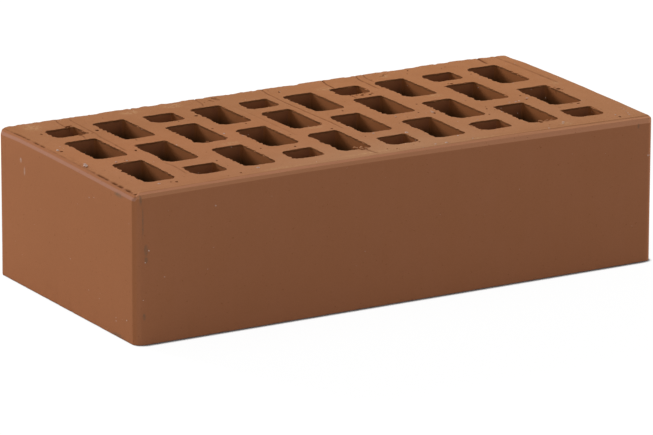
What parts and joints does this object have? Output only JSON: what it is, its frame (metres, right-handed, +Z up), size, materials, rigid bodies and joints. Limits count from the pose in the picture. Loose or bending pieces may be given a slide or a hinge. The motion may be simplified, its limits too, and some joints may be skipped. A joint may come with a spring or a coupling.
{
  "type": "perforated clay brick",
  "caption": "Extruded clay facing brick with staggered through slots, rounded upright arrises and a narrow bevel along the upper edges of its two dressed faces.",
  "frame": {"origin": "centre of the lower bed, on the level that the brick lies on", "axes": "+X along the length away from the dressed header, -Y out of the dressed stretcher, +Z up through the slots"},
  "size_m": [0.25, 0.12, 0.065],
  "materials": {
    "fired_clay": "matt, unglazed, brown-orange throughout"
  },
  "bodies": {
    "root": {"brick": "fired_clay"}
  },
  "joints": []
}
